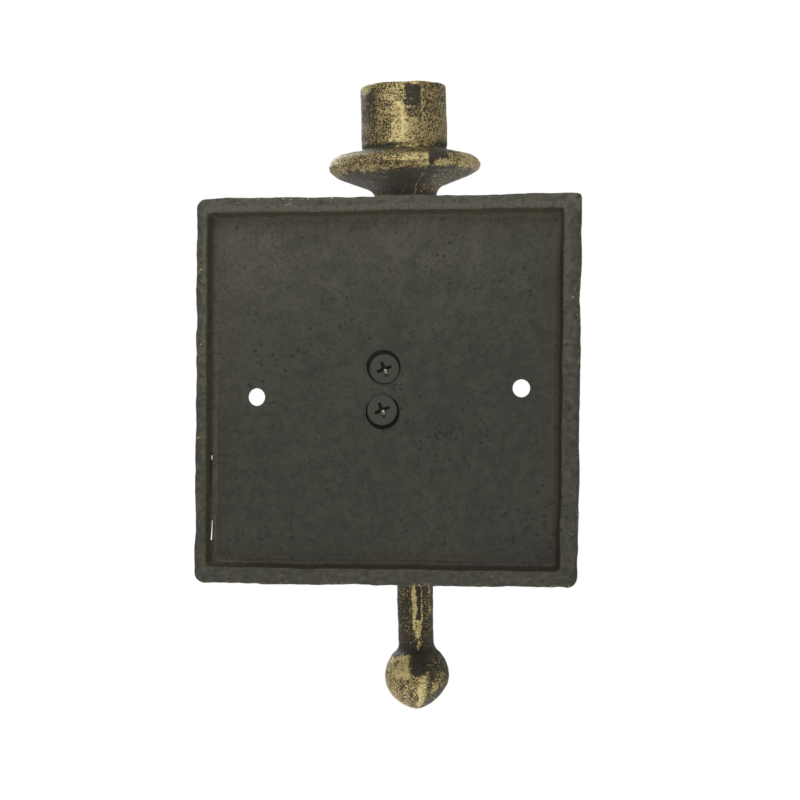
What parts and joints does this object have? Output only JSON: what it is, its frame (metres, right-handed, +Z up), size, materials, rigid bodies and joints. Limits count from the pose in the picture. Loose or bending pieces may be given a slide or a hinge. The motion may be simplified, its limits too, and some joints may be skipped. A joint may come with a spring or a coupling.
{
  "type": "wall sconce candle holder",
  "caption": "Cast wall sconce for a taper candle: square hollow-backed plate, short arm, and a round post with candle cup, drip pan and ball end, painted dark and brushed with gold.",
  "frame": {"origin": "centre of the plate's back rim, on the wall plane", "axes": "+Z up, +Y into the wall, -Y out into the room, +X to the right as seen from the room"},
  "size_m": [0.1184, 0.1016, 0.209],
  "materials": {
    "plate_casting": "matt dark bronze paint over a sand casting, gold brushed on the front's edges",
    "arm_casting": "dark bronze paint, dry-brushed with gold",
    "post_casting": "dark bronze paint, heavily dry-brushed with gold",
    "stud_steel": "zinc-plated steel",
    "screw_steel": "steel screw painted over with the plate, bare in the cross recess"
  },
  "bodies": {
    "root": {"back_plate": "plate_casting", "arm": "arm_casting", "candle_post": "post_casting", "post_stud": "stud_steel", "arm_screw_upper": "screw_steel", "arm_screw_lower": "screw_steel"}
  },
  "joints": []
}
